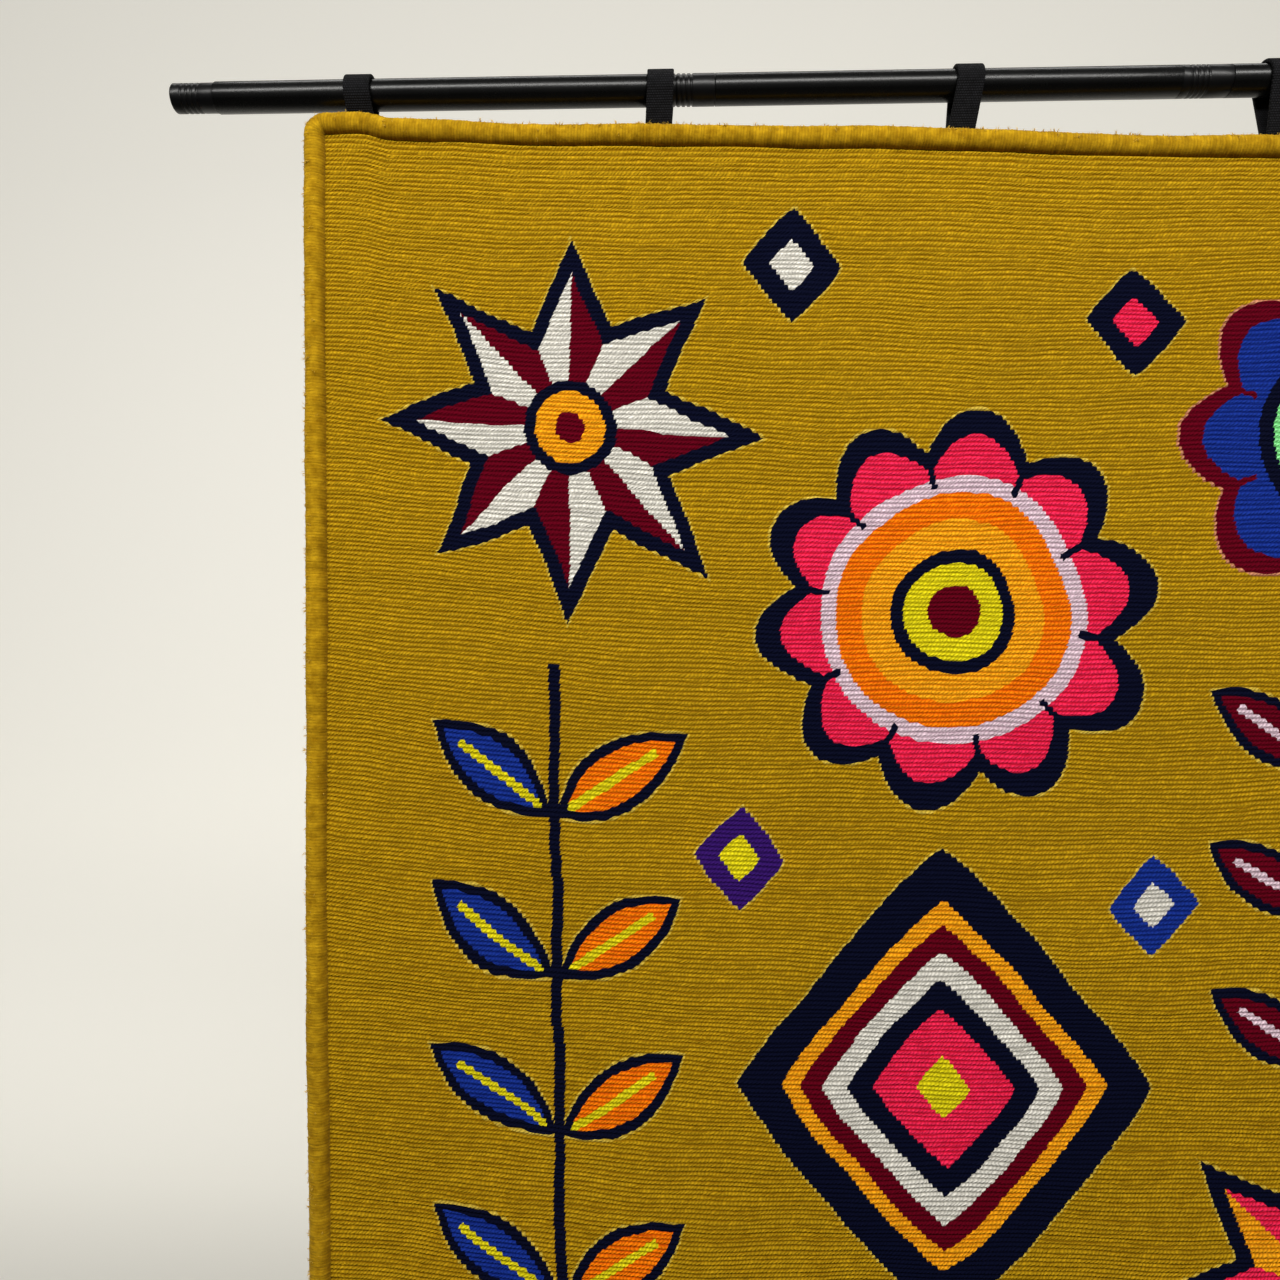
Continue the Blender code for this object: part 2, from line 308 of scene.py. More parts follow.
outline = {
    "width": 1.244,
    "bottom": 1.692,  # the lower edge's centre line, below the rod's axis
    "depth": -0.012,
    "edgeRadius": 0.010,
    "edgeToCloth": 0.0005,
    "cornerRadius": 0.0112,
    "top": [
        (0.000, 0.0340), (0.025, 0.0338), (0.060, 0.0349), (0.066, 0.0361), (0.074, 0.0387),
        (0.083, 0.0405), (0.093, 0.0409), (0.120, 0.0420), (0.146, 0.0431), (0.167, 0.0450),
        (0.185, 0.0464), (0.242, 0.0479), (0.335, 0.0494), (0.465, 0.0538), (0.557, 0.0555),
        (0.648, 0.0597), (0.757, 0.0658), (0.908, 0.0691), (1.050, 0.0721), (1.194, 0.0699),
        (1.244, 0.0685),
    ],
    "left": [
        (0.03, 0.0000), (0.11, 0.0002), (0.29, 0.0008), (0.48, 0.0018), (0.86, 0.0019),
        (1.00, 0.0033), (1.12, 0.0046), (1.45, 0.0034), (1.70, 0.0008),
    ],
    "right": [(0.03, 0.0000), (0.35, 0.0026), (0.80, 0.0012), (1.20, 0.0036), (1.70, 0.0014)],
    "low": [(0.000, 0.0020), (0.260, 0.0000), (0.560, 0.0026), (0.880, 0.0006), (1.244, 0.0030)],
    "waves": [(0.0040, 1.92, -0.13, 0.18), (0.0026, 1.20, -1.41, 0.40), (0.0018, 0.00, 1.06, 0.10)],
    "lowCurl": [(0.0045, 0.91, 0.00, 0.35)],
    "lowCurlPower": 6,
}

leftSide = -outline["width"] / 2
inset = outline["edgeRadius"] + outline["edgeToCloth"]  # from the edge's centre line to the cloth's side


def topZ(x):
    return -smoothLine(outline["top"], x - leftSide)


def lowZ(x):
    return smoothLine(outline["low"], x - leftSide) - outline["bottom"]


def leftX(z):
    return leftSide + outline["edgeRadius"] + smoothLine(outline["left"], -z)


def rightX(z):
    return -leftSide - outline["edgeRadius"] - smoothLine(outline["right"], -z)


# Y of the cloth's middle surface: nearly flat under the loops, in slow shallow waves lower down.
def sway(x, z):
    share = np.clip(-z / outline["bottom"], 0.0, 1.0)
    slow = ripples(outline["waves"], x, z)
    curl = ripples(outline["lowCurl"], x, z)
    return outline["depth"] + share * slow + share ** outline["lowCurlPower"] * curl


# the woven cloth

cloth = {
    "ribs": 386,
    "frontColumns": 60,
    "backShare": 3,  # front columns to one at the back
    "rimColumn": 0.0012,  # a narrow column at each side, as a share of the width
    "halfThickness": 0.0025,
    "relief": 0.0013,  # from a rib's valley to its crest
    "reliefVaries": 0.22,
    "ribVaries": 0.13,  # ribs are beaten down more tightly in some places
    "tuck": 0.0016,  # the cloth's rim is held inside the whipped edge
    "droopFade": 0.34,  # how far down the ribs still follow the uneven top
    "bow": 0.022,  # the ribs sag this much about a third of the way down
    "wander": [(0.0013, 2.3, 3.1, 0.20), (0.0009, 5.7, -7.3, 0.60), (0.0005, 11.3, 12.9, 0.35)],
    "swell": [(0.0005, 4.1, 5.3, 0.10), (0.0004, 9.7, -6.1, 0.70)],
    "ribSteps": [(0.0, 0.0), (0.28, 1.0), (0.72, 1.0)],  # place in the rib and height, valley first
    "seed": 7,
}


# X and Z of the cloth's lines: z runs from the uneven top to the uneven foot, x between the two sides.
def clothPlan(setup):
    random = np.random.default_rng(setup["seed"])
    steps = np.array(setup["ribSteps"])
    ribs = setup["ribs"]
    rib = np.append((np.arange(ribs)[:, None] + steps[:, 0]).ravel(), ribs)
    raised = np.append(np.tile(steps[:, 1], ribs), 0.0)
    lines = np.append(0.0, np.cumsum(1 + setup["ribVaries"] * random.uniform(-1, 1, ribs)))
    down = np.interp(rib, np.arange(ribs + 1), lines / lines[-1])[:, None]
    across = np.linspace(0.0, 1.0, setup["frontColumns"] + 1)
    narrow = setup["rimColumn"]
    across = np.concatenate([[0.0, narrow], across[1:-1], [1.0 - narrow, 1.0]])[None, :]

    rim = inset - setup["tuck"]
    straightX = (leftSide + outline["edgeRadius"] + rim) * (1 - 2 * across)
    top = topZ(straightX) - rim
    low = lowZ(straightX) + rim
    evenTop = top[0, 0] * (1 - across) + top[0, -1] * across
    fade = np.exp(-down * outline["bottom"] / setup["droopFade"])
    hold = np.minimum(1.0, 16 * down * (1 - down))  # no wandering at the top and foot
    z = evenTop * (1 - down) + low * down + (top - evenTop) * (1 - down) * fade
    z = z + hold * ripples(setup["wander"], across, down)
    z = z - setup["bow"] * np.sin(math.pi * across ** 0.75) ** 1.3 * np.sin(math.pi * down ** 0.75)
    x = (leftX(z) + rim) * (1 - across) + (rightX(z) - rim) * across
    height = 1 + setup["reliefVaries"] * random.uniform(-1, 1, len(rib))
    return x, z, rib, raised * height, across


# The sheet is one closed band of columns, over the front and back again over the wall side, with its
# top and foot closed. A rib's crest stands out from its valleys on both sides.
def makeCloth(setup, finish):
    x, z, rib, raised, across = clothPlan(setup)
    middle = sway(x, z)
    lift = setup["halfThickness"] - setup["relief"] * (1 - raised[:, None])
    swell = ripples(setup["swell"], across, z)
    flat = outline["width"] - 2 * outline["edgeRadius"] - 2 * inset + 2 * setup["tuck"]
    along = np.broadcast_to(across * flat, x.shape)
    ribs = np.broadcast_to(rib[:, None], x.shape)
    front = np.stack([x, middle - lift - swell, z], axis=2)
    back = np.stack([x, middle + lift, z], axis=2)
    place = np.stack([along, ribs, np.zeros_like(x)], axis=2)

    # the wall side keeps its rims and every third column between them, and is walked from right to left
    last = x.shape[1] - 1
    inner = np.arange(1 + setup["backShare"], last - 1, setup["backShare"])
    kept = np.concatenate([[last, last - 1], inner[::-1], [1, 0]])
    points = np.concatenate([front, back[:, kept]], axis=1)
    places = np.concatenate([place, place[:, kept]], axis=1)

    rows, columns = points.shape[:2]
    faces = gridFaces(rows, columns, closeColumns=True)[:, ::-1].tolist()
    number = last + 1 + np.arange(len(kept))
    for row, turned in ((0, False), (rows - 1, True)):
        for right, left, backRight, backLeft in zip(kept[:-1], kept[1:], number[:-1], number[1:]):
            strip = [*range(left, right + 1), backRight, backLeft]
            strip = [row * columns + int(point) for point in strip]
            faces.append(strip[::-1] if turned else strip)
    return buildPiece("tapestryCloth", points, faces, finish, "weavePlace", places)


# Yarn colours, as they look on a screen in full light
yarn = {
    "mustard": tone(186, 146, 19),
    "navy": tone(9, 13, 38),
    "burgundy": tone(102, 1, 25),
    "coral": tone(246, 44, 88),
    "orange": tone(255, 130, 8),
    "gold": tone(252, 172, 26),
    "lime": tone(232, 218, 26),
    "offWhite": tone(232, 228, 218),
    "palePink": tone(232, 206, 218),
    "cobalt": tone(26, 54, 150),
    "purple": tone(58, 24, 112),
    "mint": tone(146, 240, 156),
    "forest": tone(10, 74, 52),
    "tan": tone(206, 140, 104),
    "straw": tone(214, 184, 70),
}

# The woven design: ordinary stars, flowers, leaf sprigs, stepped diamonds and a zigzag border. Places are
# metres across and down from the cloth's upper left corner.
design = {
    "stitch": 0.0036,
    "ribPitch": 0.00425,
    "rowJitter": 0.0016,
    "ribWobble": 0.85,  # in ribs, from the yarn's unevenness
    "wholeRows": 0.45,  # how far a shape's border goes by whole ribs
    "handDrawn": 0.009,
    "slant": 0.0016,  # of a stitch at the end of a row
    "valleyShadePower": 1.42,  # painted shade: a valley's colour is the yarn's to this power
    # strength of the painted shade in rib valleys and the painted highlight on crests and stitches
    "contrast": 0.60,
    "darkShows": 0.22,  # how much of the painted rib shade and highlight still shows in dark yarn
    "trace": 0.0024,  # a thin line of mixed yarn round each motif
    "stars": [
        {
            "at": (0.232, 0.262), "reach": 0.180, "rim": "navy",
            "light": "offWhite", "dark": "burgundy", "eye": "gold",
        },
        {
            "at": (0.935, 1.055), "reach": 0.172, "rim": "navy",
            "light": "gold", "dark": "coral", "eye": "offWhite",
        },
    ],
    "flowers": [
        {
            "at": (0.588, 0.420), "reach": 0.186, "petals": 10, "turn": 0.16, "rim": "navy",
            "rings": [
                (0.0, "burgundy"), (0.13, "lime"), (0.25, "navy"), (0.31, "gold"),
                (0.45, "orange"), (0.58, "palePink"), (0.66, "coral"),
            ],
        },
        {
            "at": (0.955, 0.262), "reach": 0.160, "petals": 8, "turn": 0.0, "rim": "burgundy",
            "rings": [(0.0, "lime"), (0.20, "forest"), (0.32, "mint"), (0.48, "navy"), (0.56, "cobalt")],
        },
    ],
    "sprigs": [
        {
            "at": (0.218, 0.500), "pairs": 4, "pitch": 0.152,
            "left": "cobalt", "right": "orange", "vein": "lime", "rim": "navy",
        },
        {
            "at": (0.930, 0.455), "pairs": 3, "pitch": 0.140,
            "left": "burgundy", "right": "mint", "vein": "palePink", "rim": "navy",
        },
    ],
    "diamonds": [
        {
            "at": (0.578, 0.862), "half": (0.190, 0.222),
            "bands": [
                (0.0, "lime"), (0.10, "coral"), (0.30, "navy"), (0.42, "offWhite"),
                (0.54, "burgundy"), (0.66, "gold"), (0.76, "navy"),
            ],
        },
        {"at": (0.440, 0.105), "half": (0.046, 0.050), "bands": [(0.0, "offWhite"), (0.42, "navy")]},
        {"at": (0.755, 0.150), "half": (0.046, 0.050), "bands": [(0.0, "coral"), (0.42, "navy")]},
        {"at": (0.392, 0.652), "half": (0.042, 0.048), "bands": [(0.0, "lime"), (0.42, "purple")]},
        {"at": (0.770, 0.690), "half": (0.042, 0.048), "bands": [(0.0, "offWhite"), (0.42, "cobalt")]},
    ],
    "zigzag": {
        "from": 1.225, "height": 0.150, "rise": 0.060, "pitch": 0.2414,
        "bands": [
            (0.0, "navy"), (0.16, "gold"), (0.34, "coral"),
            (0.54, "offWhite"), (0.70, "burgundy"), (0.86, "navy"),
        ],
    },
    "border": {"down": 1.520, "pitch": 0.2414, "reach": 0.070, "petals": 8},
}


def coloured(stops):
    return [(place, yarn[name]) for place, name in stops]


# The line of mixed yarn just outside a motif
def trace(wool, ground, field, reach, line="straw"):
    return wool.blend(field < 1.0 + design["trace"] / reach, ground, yarn[line])


# Eight points: across a spike the edge is the straight line from its tip to the notch beside it.
def addStar(wool, ground, across, down, star):
    spread = math.pi / 8
    x = across - star["at"][0]
    y = down - star["at"][1]
    away = (x * x + y * y) ** 0.5
    turn = x.maths("ARCTAN2", y, x)
    fold = turn.bounce(spread)
    reach = star["reach"]
    notch = reach * 0.56
    slope = (1 - notch * math.cos(spread) / reach) / (notch * math.sin(spread))
    field = away * fold.cosine() / reach + away * fold.sine() * slope
    facet = (turn * 8).sine() > 0
    inner = wool.blend(facet, yarn[star["light"]], yarn[star["dark"]])
    inner = wool.blend(away < reach * 0.25, inner, yarn[star["rim"]])
    inner = wool.blend(away < reach * 0.19, inner, yarn[star["eye"]])
    inner = wool.blend(away < reach * 0.08, inner, yarn[star["dark"]])
    whole = wool.blend(field > 0.82, inner, yarn[star["rim"]])
    ground = trace(wool, ground, field, reach * 0.6)
    return wool.blend(field < 1.0, ground, whole)


# Round petals: the rim's distance swells and shrinks with the cosine of half the petal's angle.
def addFlower(wool, ground, across, down, flower):
    petals = flower["petals"]
    x = across - flower["at"][0]
    y = down - flower["at"][1]
    away = (x * x + y * y) ** 0.5 / flower["reach"]
    fold = (x.maths("ARCTAN2", y, x) + flower["turn"]).bounce(math.pi / petals)
    rim = 0.80 + 0.20 * (fold * (petals / 2)).cosine()
    field = away / rim
    inner = wool.ramp(away, coloured(flower["rings"]))
    seam = (away * (math.pi / petals - fold).sine() < 0.016) * (away > 0.62)
    inner = wool.blend(seam.most(field > 0.87), inner, yarn[flower["rim"]])
    ground = trace(wool, ground, field, flower["reach"], "tan" if flower["rim"] == "burgundy" else "straw")
    return wool.blend(field < 1.0, ground, inner)


# Pairs of pointed leaves rise from a stem: a leaf is where its share of the width, added to the square of
# its share of the length, is under 1.
def addSprig(wool, ground, across, down, sprig):
    pitch = sprig["pitch"]
    length = pitch * 0.93
    x = across - sprig["at"][0]
    y = down - sprig["at"][1]
    inside = y.between(0.0, pitch * sprig["pairs"])
    cell = y % pitch - pitch * 0.80
    out = abs(x)
    rise = 0.60  # radians
    along = (out * math.cos(rise) - cell * math.sin(rise) - length * 0.52) / (length / 2)
    aside = abs(out * math.sin(rise) + cell * math.cos(rise)) / (pitch * 0.205)
    field = aside + along * along
    leaf = wool.blend(x > 0, yarn[sprig["left"]], yarn[sprig["right"]])
    leaf = wool.blend((aside < 0.13) * (along < 0.55), leaf, yarn[sprig["vein"]])
    leaf = wool.blend(field > 0.70, leaf, yarn[sprig["rim"]])
    ground = wool.blend((field < 1.07) * inside, ground, yarn["straw"])
    ground = wool.blend((field < 1.0) * inside, ground, leaf)
    stem = (out < 0.0052) * y.between(-0.02, pitch * sprig["pairs"] + 0.02)
    return wool.blend(stem, ground, yarn[sprig["rim"]])


# A diamond with sides that bow out a little: the two distances, each to a power just over one, add up to
# its field.
def addDiamond(wool, ground, across, down, diamond):
    x = abs(across - diamond["at"][0]) / diamond["half"][0]
    y = abs(down - diamond["at"][1]) / diamond["half"][1]
    field = x ** 1.12 + y ** 1.12
    ground = trace(wool, ground, field, min(diamond["half"]))
    return wool.blend(field < 1.0, ground, wool.ramp(field, coloured(diamond["bands"])))


def addZigzag(wool, ground, across, down, zigzag):
    fold = across.bounce(zigzag["pitch"] / 2) / (zigzag["pitch"] / 2)
    field = (down - zigzag["from"] - fold * zigzag["rise"]) / zigzag["height"]
    return wool.blend(field.between(0.0, 1.0), ground, wool.ramp(field, coloured(zigzag["bands"])))


# A row of small flowers at one pitch, every other one in other colours.
def addBorder(wool, ground, across, down, border):
    number = math.floor(across / border["pitch"])
    other = number % 2 > 0.5
    x = across % border["pitch"] - border["pitch"] / 2
    y = down - border["down"]
    away = (x * x + y * y) ** 0.5 / border["reach"]
    fold = x.maths("ARCTAN2", y, x).bounce(math.pi / border["petals"])
    field = away / (0.78 + 0.22 * (fold * (border["petals"] / 2)).cosine())
    petal = wool.blend(other, yarn["coral"], yarn["cobalt"])
    heart = wool.blend(other, yarn["lime"], yarn["offWhite"])
    inner = wool.blend(away < 0.52, petal, yarn["navy"])
    inner = wool.blend(away < 0.42, inner, heart)
    inner = wool.blend(away < 0.16, inner, yarn["burgundy"])
    inner = wool.blend(field > 0.86, inner, yarn["navy"])
    return wool.blend(field < 1.0, ground, inner)


def makeWeave():
    wool = Finish("ribbedWool", Roughness=0.95, Specular_IOR_Level=0.05)
    across, rib = wool.place("weavePlace")[:2]
    wobble = wool.noise(wool.join(across * 42.0, rib * 0.45), 1.0, 2.0, 0.6)
    rib = rib + (wobble - 0.5) * design["ribWobble"]
    row = math.floor(rib)
    phase = rib - row
    chance = wool.chance(row)
    stitchRow = (rib + (row + 0.5 - rib) * design["wholeRows"]) * design["ribPitch"]

    # Each row starts and stops a little off, and its ends slant as a stitch does
    shifted = across + (chance - 0.5) * design["rowJitter"] + (phase - 0.5) * design["slant"]
    driftX, driftY = wool.parts(wool.noise(wool.join(shifted, stitchRow), 7.0, 1.0, 0.5, "Color"))[:2]
    x = shifted + (driftX - 0.5) * design["handDrawn"] * 2
    y = stitchRow + (driftY - 0.5) * design["handDrawn"] * 2

    colour = wool.blend(0.0, yarn["mustard"], yarn["mustard"])
    colour = addZigzag(wool, colour, x, y, design["zigzag"])
    colour = addBorder(wool, colour, x, y, design["border"])
    for diamond in design["diamonds"]:
        colour = addDiamond(wool, colour, x, y, diamond)
    for sprig in design["sprigs"]:
        colour = addSprig(wool, colour, x, y, sprig)
    for flower in design["flowers"]:
        colour = addFlower(wool, colour, x, y, flower)
    for star in design["stars"]:
        colour = addStar(wool, colour, x, y, star)

    # Yarn: rows differ in tone at random and each stitch is a short slanting dash. Painted shade darkens and
    # deepens the colour in each rib's valley, and a painted highlight lights the rib's crest and the stitch
    # dashes on it.
    # Dark yarn shows much less of the painted shade and highlight.
    crest = (phase * math.pi).sine()
    uneven = wool.noise(wool.join(across * 55.0, rib * 0.7), 1.0, 2.0, 0.6)
    twist = across / design["stitch"] + phase * 0.85 + chance * 7.3 + uneven * 2.2
    wave = (twist * math.pi).sine()
    bead = wave * wave
    own = wool.chance(math.floor(twist) + row * 411.0)
    fibre = wool.noise(wool.join(across * 1.0, rib * 0.0022), 900.0, 3.0, 0.65)
    patch = wool.noise(wool.join(across * 6.0, rib * 0.010), 1.0, 3.0, 0.6)
    rowTone = 0.90 + chance * 0.18
    red, green, blue = wool.parts(colour, "ShaderNodeSeparateColor")
    plain = (red.most(green).most(blue) * 2.0).least(1.0).most(design["darkShows"])
    blotch = 0.68 + 0.30 * patch + 0.20 * uneven + 0.40 * own * own
    # painted shade in the rib valleys and painted highlight on the crests and stitch dashes, times random
    # tone
    light = (0.58 + 0.46 * crest) * (0.68 + 0.50 * bead * crest) * rowTone * blotch
    light = 0.80 + (light - 0.80) * plain * design["contrast"]
    # painted shade: the valleys take a deeper colour
    valleyShadeColour = wool.add("ShaderNodeGamma", None, {0: colour, 1: design["valleyShadePower"]})
    colour = wool.blend((1.0 - crest ** 0.8) * plain, colour, valleyShadeColour)
    colour = wool.scaleColour(colour, light)
    wool.feed("Base Color", colour)
    height = (bead ** 0.7) * (crest ** 0.5) * 0.65 + fibre * 0.35
    wool.feed("Normal", wool.bump(height, 0.0012, 0.9))
    return wool.material


clothPiece = makeCloth(cloth, makeWeave())
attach(clothPiece, "root")
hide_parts("tapestry_cloth")
print("cloth woven:", len(clothPiece.data.polygons), "faces")


# the whipped edge

edge = {
    "radius": 0.0106,
    "turnPitch": 0.0028,
    "linesPerTurn": 3,
    "sides": 15,
    "turnRelief": 0.00016,
    "turnVaries": 0.00016,
    "lumps": [
        (0.00018, 9.0, 1.0, 0.10), (0.00010, 23.0, 2.0, 0.45),
        (0.00010, 61.0, 1.0, 0.80), (0.00007, 137.0, 3.0, 0.30),
    ],
    "squeeze": [(0.00030, 2.1, 0.0, 0.15), (0.00025, 5.3, 0.0, 0.60)],
    "seed": 11,
    "fibres": 14000,
    "tufts": 4000,
    "tuftSpread": 0.7,  # in steps of the edge's line
    "tuftTurn": 0.80,  # radians to either side of straight out from the cloth
    "lineSteps": 6000,  # about one a millimetre
    "fibreLength": 0.0075,
    "fibreThick": 0.00022,
    "rootDepth": 0.0006,
    "fuzzSeed": 23,
}

fuzzyWool = {
    "Roughness": 0.95,
    "Specular_IOR_Level": 0.05,
    "Sheen_Roughness": 0.4,
    "Sheen_Tint": (1.0, 0.80, 0.18, 1.0),
}


# The edge's centre line in the plane of the cloth, clockwise from the upper left corner as the viewer
# sees it: four sides that follow the outline, joined by quarter circles.
def edgePlan():
    r = outline["cornerRadius"]
    high = (topZ(np.array([leftSide + 0.009])), topZ(np.array([-leftSide - 0.009])))
    foot = (lowZ(np.array([leftSide + 0.009])), lowZ(np.array([-leftSide - 0.009])))
    left, right = leftX(high[0])[0], rightX(high[1])[0]
    lowLeft, lowRight = leftX(foot[0])[0], rightX(foot[1])[0]
    high, foot = [value[0] for value in high], [value[0] for value in foot]

    def arc(x, z, start):
        angle = np.radians(start - np.linspace(0, 90, 24)[1:-1])
        return np.stack([x + r * np.cos(angle), z + r * np.sin(angle)], axis=1)

    topX = np.linspace(left + r, right - r, 900)
    rightZ = np.linspace(high[1] - r, foot[1] + r, 1200)
    footX = np.linspace(lowRight - r, lowLeft + r, 900)
    leftZ = np.linspace(foot[0] + r, high[0] - r, 1200)
    return np.concatenate(
        [
            arc(left + r, high[0] - r, 180),
            np.stack([topX, topZ(topX)], axis=1),
            arc(right - r, high[1] - r, 90),
            np.stack([rightX(rightZ), rightZ], axis=1),
            arc(lowRight - r, foot[1] + r, 0),
            np.stack([footX, lowZ(footX)], axis=1),
            arc(lowLeft + r, foot[0] + r, -90),
            np.stack([leftX(leftZ), leftZ], axis=1),
        ]
    )


# Evenly spaced points on a closed line
def evenLine(line, count):
    closed = np.concatenate([line, line[:1]])
    walked = np.append(0.0, np.cumsum(np.linalg.norm(np.diff(closed, axis=0), axis=1)))
    at = np.linspace(0.0, walked[-1], count, endpoint=False)
    return np.stack([np.interp(at, walked, closed[:, n]) for n in range(closed.shape[1])], axis=1), walked[-1]


# Value at fractions of a step along a closed list of points
def readLine(line, at):
    low = np.floor(at).astype(int)
    share = (at - low)[..., None]
    return line[low % len(line)] * (1 - share) + line[(low + 1) % len(line)] * share


# A plan of the edge's line put at the cloth's depth, with its direction at each point
def swayedLine(plan):
    line = np.stack([plan[:, 0], sway(plan[:, 0], plan[:, 1]), plan[:, 1]], axis=1)
    heading = np.roll(line, -2, axis=0) - np.roll(line, 2, axis=0)
    return line, heading / np.linalg.norm(heading, axis=1)[:, None]


# Towards the viewer and towards the cloth, both square to the edge's line
def edgeDirections(tangent):
    forward = np.array([0.0, -1.0, 0.0]) + tangent * tangent[..., 1:2]
    forward /= np.linalg.norm(forward, axis=-1)[..., None]
    return forward, np.cross(tangent, forward)


# A tube round the centre line. Every third ring is a valley between two turns of yarn, and the rings
# advance by one turn each time round, as the yarn does.
def makeEdge(setup, finish):
    plan = edgePlan()
    total = evenLine(plan, 10)[1]
    turns = int(round(total / setup["turnPitch"]))
    rings = turns * setup["linesPerTurn"]
    plan = evenLine(plan, rings)[0]
    line, heading = swayedLine((plan + np.roll(plan, 1, axis=0) + np.roll(plan, -1, axis=0)) / 3)

    random = np.random.default_rng(setup["seed"])
    sides = setup["sides"]
    ring = np.arange(rings)[:, None] + setup["linesPerTurn"] * np.arange(sides)[None, :] / sides
    angle = np.broadcast_to(2 * math.pi * np.arange(sides) / sides, ring.shape)
    place = readLine(line, ring)
    forward, inward = edgeDirections(readLine(heading, ring))

    turn = np.arange(rings) // setup["linesPerTurn"]
    valley = (np.arange(rings) % setup["linesPerTurn"] == 0)[:, None]
    own = random.normal(0.0, setup["turnVaries"], turns)[turn][:, None]
    own = own * (0.6 + 0.4 * np.sin(angle + random.uniform(0, 6.28, turns)[turn][:, None]))
    along = ring / rings * total
    radius = setup["radius"] + ripples(setup["lumps"], along, angle / (2 * math.pi))
    radius = radius + ripples(setup["squeeze"], along, 0 * angle)
    radius = radius + np.where(valley, -setup["turnRelief"], setup["turnRelief"] * 0.3 + own)
    points = place + inward * (radius * np.cos(angle))[..., None]
    points = points + forward * (radius * np.sin(angle))[..., None]

    # the last side of each ring joins the first side of the ring one turn further on
    number = np.arange(rings * sides).reshape(rings, sides)
    ahead = np.concatenate([number[:, 1:], np.roll(number[:, :1], -setup["linesPerTurn"], axis=0)], axis=1)
    faces = np.stack([number, np.roll(number, -1, axis=0), np.roll(ahead, -1, axis=0), ahead], axis=2)
    turnPlace = ring / setup["linesPerTurn"] - np.arange(sides) / sides
    places = np.stack([turnPlace, angle / (2 * math.pi), along], axis=2)
    return buildPiece("whippedEdge", points, faces.reshape(-1, 4).tolist(), finish, "turnPlace", places)


def makeEdgeWool():
    wool = Finish("whippedWool", Sheen_Weight=0.25, **fuzzyWool)
    turn, angle, along = wool.place("turnPlace")
    own = wool.chance(math.floor(turn))
    crest = ((turn % 1.0) * math.pi).sine()
    spot = wool.objectPlace()
    mottle = wool.noise(spot, 105.0, 3.0, 0.6)
    patch = wool.noise(spot, 22.0, 2.0, 0.5)
    fibre = wool.noise(wool.join(along * 1.0, angle * 0.007), 1100.0, 2.0, 0.6)
    fuzz = wool.noise(spot, 900.0, 2.0, 0.7)
    lean = (angle * (2 * math.pi)).cosine()  # 1 where the edge meets the cloth, -1 at the outside
    # Painted shade: the colour darkens to brown into the crease where the edge meets the cloth, and the whole
    # edge is painted a little darker towards the cloth.
    creaseShade = ((lean - 0.40).most(0.0) / 0.50).least(1.0)
    shade = 0.87 - 0.07 * lean
    blotch = 0.26 + 0.42 * mottle + 0.22 * patch + 0.20 * fuzz + 0.62 * fibre
    # painted shade in the hollows between turns of yarn, times random tone
    light = (0.80 + 0.20 * crest) * (0.86 + 0.24 * own) * blotch
    colour = wool.blend(mottle * 1.4 - 0.2, tone(152, 108, 4), tone(216, 170, 28))
    colour = wool.blend(creaseShade * 0.30, colour, tone(124, 78, 2))
    wool.feed("Base Color", wool.scaleColour(colour, light * shade))
    wool.feed("Normal", wool.bump(fibre * 0.7 + fuzz * 0.4 + mottle * 0.5, 0.0012, 0.8))
    return wool.material


# Loose fibres of wool that stand off the edge in tufts: each is a thin three-sided spike with one bend.
def makeFuzz(setup, finish):
    random = np.random.default_rng(setup["fuzzSeed"])
    line, heading = swayedLine(evenLine(edgePlan(), setup["lineSteps"])[0])
    count = setup["fibres"]
    tuft = random.integers(0, setup["tufts"], count)
    tuftAt, tuftTurn, tuftSize = random.uniform(0, 1, (3, setup["tufts"]))
    tuftAngle = random.normal(0.0, setup["tuftTurn"], setup["tufts"])
    at = tuftAt[tuft] * len(line) + random.normal(0.0, setup["tuftSpread"], count)
    angle = tuftAngle[tuft] + random.normal(0.0, 0.10, count)
    place, tangent = readLine(line, at), readLine(heading, at)
    forward, inward = edgeDirections(tangent)
    normal = forward * np.sin(angle)[:, None] - inward * np.cos(angle)[:, None]
    aside = np.cross(normal, tangent)
    swirl = (2 * math.pi * tuftTurn[tuft] + random.normal(0.0, 0.55, count))[:, None]
    lean = tangent * np.cos(swirl) + aside * np.sin(swirl)
    length = setup["fibreLength"] * (0.22 + 0.78 * tuftSize[tuft] ** 3) * random.uniform(0.6, 1.0, count)
    length = length[:, None]
    root = place + normal * (setup["radius"] - setup["rootDepth"])
    bend = root + normal * length * 0.52 + lean * length * 0.20
    tip = bend + normal * length * 0.12 + lean * length * 0.55
    rings = []
    for centre, thick in ((root, setup["fibreThick"]), (bend, setup["fibreThick"] * 0.8)):
        for corner in (0.0, 2 * math.pi / 3, 4 * math.pi / 3):
            rings.append(centre + (tangent * math.cos(corner) + aside * math.sin(corner)) * thick)
    points = np.stack([*rings, tip], axis=1)
    first = 7 * np.arange(count)[:, None]
    faces = []
    for n in range(3):
        after = (n + 1) % 3
        faces += (first + [[n, after, 3 + after, 3 + n]]).tolist()
        faces += (first + [[3 + n, 3 + after, 6]]).tolist()
    faces += (first + [[2, 1, 0]]).tolist()
    return buildPiece("edgeFuzz", points, faces, finish)


